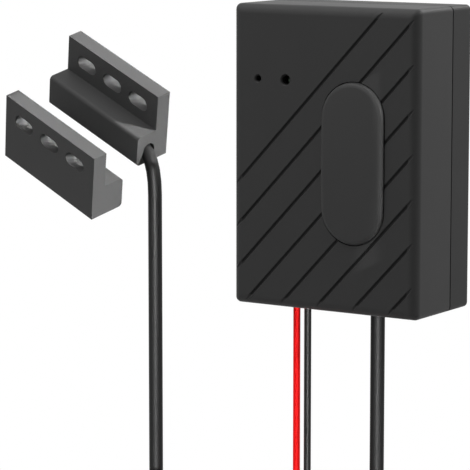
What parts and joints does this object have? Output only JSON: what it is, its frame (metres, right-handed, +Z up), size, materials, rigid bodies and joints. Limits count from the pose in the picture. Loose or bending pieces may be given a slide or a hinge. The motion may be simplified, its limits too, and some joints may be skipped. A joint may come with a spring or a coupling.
{
  "type": "garage door controller",
  "caption": "Wall-mounted smart garage door controller: grooved box with a long push button, opener wires, and a wired reed contact with its separate magnet.",
  "frame": {"origin": "centre of the box's flat back face, where it meets the wall", "axes": "+X to the right as a viewer faces the wall, +Y into the wall, +Z up; the box's front and button face -Y"},
  "size_m": [0.1564, 0.038, 0.2764],
  "materials": {
    "housing_front": "satin",
    "housing_rear": "satin",
    "button_plastic": "satin",
    "steel": "satin",
    "board_green": "satin",
    "board_dark": "satin",
    "relay_blue": "gloss",
    "tinned_copper": "satin",
    "shield_metal": "satin",
    "capacitor_can": "satin",
    "ferrite": "matte",
    "chip_black": "matte",
    "chip_ceramic": "matte",
    "plunger_plastic": "matte",
    "lamp_blue": "gloss",
    "lamp_green": "gloss",
    "connector_white": "matte",
    "grommet_rubber": "matte",
    "tie_nylon": "matte",
    "core_insulation": "matte",
    "wire_red": "gloss",
    "wire_black": "gloss",
    "cable_jacket": "gloss",
    "sensor_plastic": "matte",
    "reed_glass": "gloss",
    "reed_metal": "satin",
    "resin": "matte",
    "magnet_metal": "satin"
  },
  "bodies": {
    "controller": {"front_cover": "housing_front", "rear_cover": "housing_rear", "housing_screws": "steel", "circuit_board": "board_green", "board_screws": "steel", "relay": "relay_blue", "relay_pins": "tinned_copper", "radio_module": "board_dark", "radio_can": "shield_metal", "supply_capacitors": "capacitor_can", "power_inductor": "ferrite", "regulator_chip": "chip_black", "relay_transistor": "chip_black", "relay_diode": "chip_black", "chip_parts": "chip_ceramic", "switch_case": "chip_black", "switch_plate": "shield_metal", "wifi_lamp": "lamp_blue", "door_lamp": "lamp_green", "lamp_legs": "tinned_copper", "lamp_spacers": "chip_black", "usb_shell": "shield_metal", "usb_tongue": "chip_black", "wire_header": "connector_white", "wire_plug": "connector_white", "sensor_header": "connector_white", "sensor_plug": "connector_white", "wire_grommet": "grommet_rubber", "cable_grommet": "grommet_rubber", "strain_tie": "tie_nylon", "cable_cores": "core_insulation", "red_wire": "wire_red", "red_wire_coil": "wire_red", "red_wire_tail": "wire_red", "red_wire_bare_end": "tinned_copper", "black_wire": "wire_black", "black_wire_coil": "wire_black", "black_wire_tail": "wire_black", "black_wire_bare_end": "tinned_copper", "wires_tie": "tie_nylon", "sensor_cable": "cable_jacket", "sensor_cable_coil": "cable_jacket", "box_cable": "cable_jacket", "cable_tie": "tie_nylon", "reed_housing": "sensor_plastic", "reed_glass": "reed_glass", "reed_blades": "reed_metal", "reed_cores": "core_insulation", "reed_resin": "resin"},
    "button": {"push_button": "button_plastic", "switch_plunger": "plunger_plastic"},
    "magnet_unit": {"magnet_housing": "sensor_plastic", "bar_magnet": "magnet_metal", "magnet_resin": "resin"}
  },
  "joints": [
    {"name": "button_press", "type": "slide", "parent": "controller", "child": "button", "axis": [0, 1, 0], "range_m": [0, 0.0008], "stiffness_N_per_m": 1000, "springref_m": -0.001},
    {"name": "magnet_slide", "type": "slide", "parent": "controller", "child": "magnet_unit", "axis": [0.3256, -0.3694, 0.8704], "range_m": [-0.03, 0.0126]}
  ]
}
